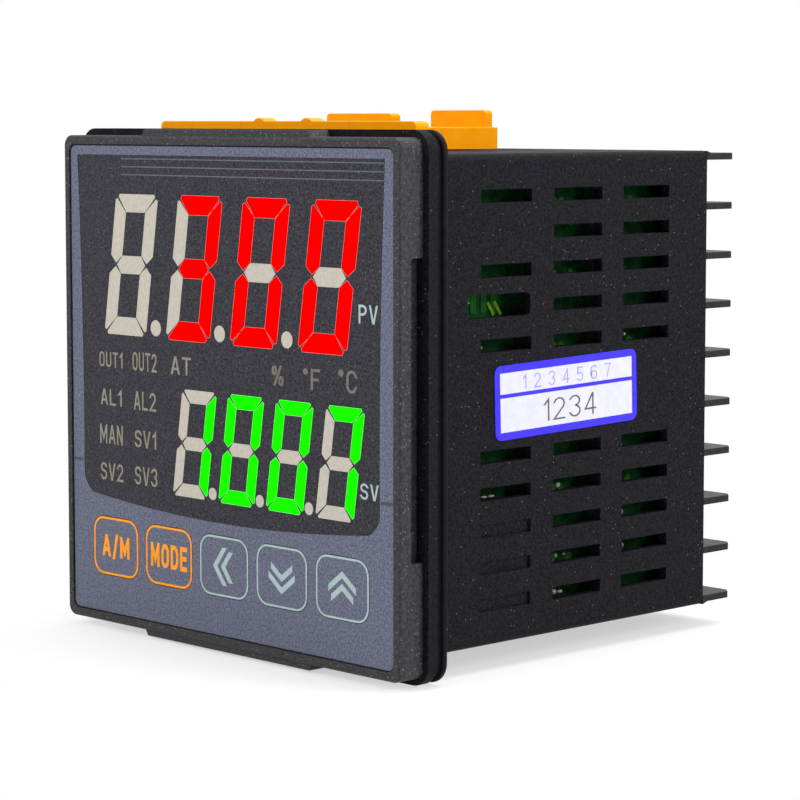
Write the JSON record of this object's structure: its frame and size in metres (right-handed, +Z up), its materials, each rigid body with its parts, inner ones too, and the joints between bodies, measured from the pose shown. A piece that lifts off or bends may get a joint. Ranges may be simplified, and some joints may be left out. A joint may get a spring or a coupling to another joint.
{
  "type": "pid temperature controller",
  "caption": "Panel-mounted PID temperature controller with a square front, two digit rows, sprung keys, rear screw terminals and a sliding bracket.",
  "frame": {"origin": "middle of the bounding box's bottom face", "axes": "+Z up, -Y out of the front towards the operator, +X to the operator's right"},
  "size_m": [0.074, 0.0718, 0.0767],
  "materials": {
    "frame_plastic": "fine spark texture",
    "overlay_film": "satin printed film",
    "window_dark": "smoked, satin",
    "reflector_plastic": "plain",
    "led_chip": "clear",
    "switch_plastic": "plain",
    "dome_steel": "plain",
    "board_green": "solder mask",
    "case_plastic": "spark texture",
    "gasket_rubber": "plain",
    "header_plastic": "plain",
    "relay_plastic": "plain",
    "ferrite": "plain",
    "capacitor_can": "sleeved",
    "chip_plastic": "plain",
    "gold_pad": "plated",
    "terminal_plastic": "plain",
    "contact_brass": "plain",
    "clamp_steel": "zinc plated",
    "screw_steel": "nickel plated",
    "bracket_plastic": "plain moulded",
    "label_film": "printed paper",
    "lit_red": "lit",
    "lit_green": "lit",
    "segment_dark": "unlit diffuser",
    "key_film": "satin printed film"
  },
  "bodies": {
    "controller": {"front_frame": "frame_plastic", "front_overlay": "overlay_film", "display_window": "window_dark", "display_reflector": "reflector_plastic", "display_leds": "led_chip", "tact_switches": "switch_plastic", "switch_domes": "dome_steel", "display_board": "board_green", "case": "case_plastic", "panel_gasket": "gasket_rubber", "side_board_right": "board_green", "side_board_left": "board_green", "board_headers": "header_plastic", "relays": "relay_plastic", "power_transformer": "ferrite", "electrolytic_capacitors": "capacitor_can", "microcontroller": "chip_plastic", "loader_pads": "gold_pad", "terminal_block": "terminal_plastic", "terminal_contacts": "contact_brass", "terminal_clamps": "clamp_steel", "terminal_screws": "screw_steel", "inspection_label": "label_film", "pv_segments_lit": "lit_red", "pv_segments_dark": "segment_dark", "pv_points": "segment_dark", "sv_segments_lit": "lit_green", "sv_segments_dark": "segment_dark", "sv_points": "segment_dark"},
    "key_auto_manual_body": {"key_auto_manual": "key_film"},
    "key_mode_body": {"key_mode": "key_film"},
    "key_shift_body": {"key_shift": "key_film"},
    "key_down_body": {"key_down": "key_film"},
    "key_up_body": {"key_up": "key_film"},
    "bracket_body": {"mounting_bracket": "bracket_plastic"}
  },
  "joints": [
    {"name": "key_auto_manual_press", "type": "slide", "parent": "controller", "child": "key_auto_manual_body", "axis": [0, 1, 0], "range_m": [0, 0.0003], "stiffness_N_per_m": 4000},
    {"name": "key_mode_press", "type": "slide", "parent": "controller", "child": "key_mode_body", "axis": [0, 1, 0], "range_m": [0, 0.0003], "stiffness_N_per_m": 4000},
    {"name": "key_shift_press", "type": "slide", "parent": "controller", "child": "key_shift_body", "axis": [0, 1, 0], "range_m": [0, 0.0003], "stiffness_N_per_m": 4000},
    {"name": "key_down_press", "type": "slide", "parent": "controller", "child": "key_down_body", "axis": [0, 1, 0], "range_m": [0, 0.0003], "stiffness_N_per_m": 4000},
    {"name": "key_up_press", "type": "slide", "parent": "controller", "child": "key_up_body", "axis": [0, 1, 0], "range_m": [0, 0.0003], "stiffness_N_per_m": 4000},
    {"name": "bracket_slide", "type": "slide", "parent": "controller", "child": "bracket_body", "axis": [0, 1, 0], "range_m": [-0.0025, 0.0185]}
  ]
}
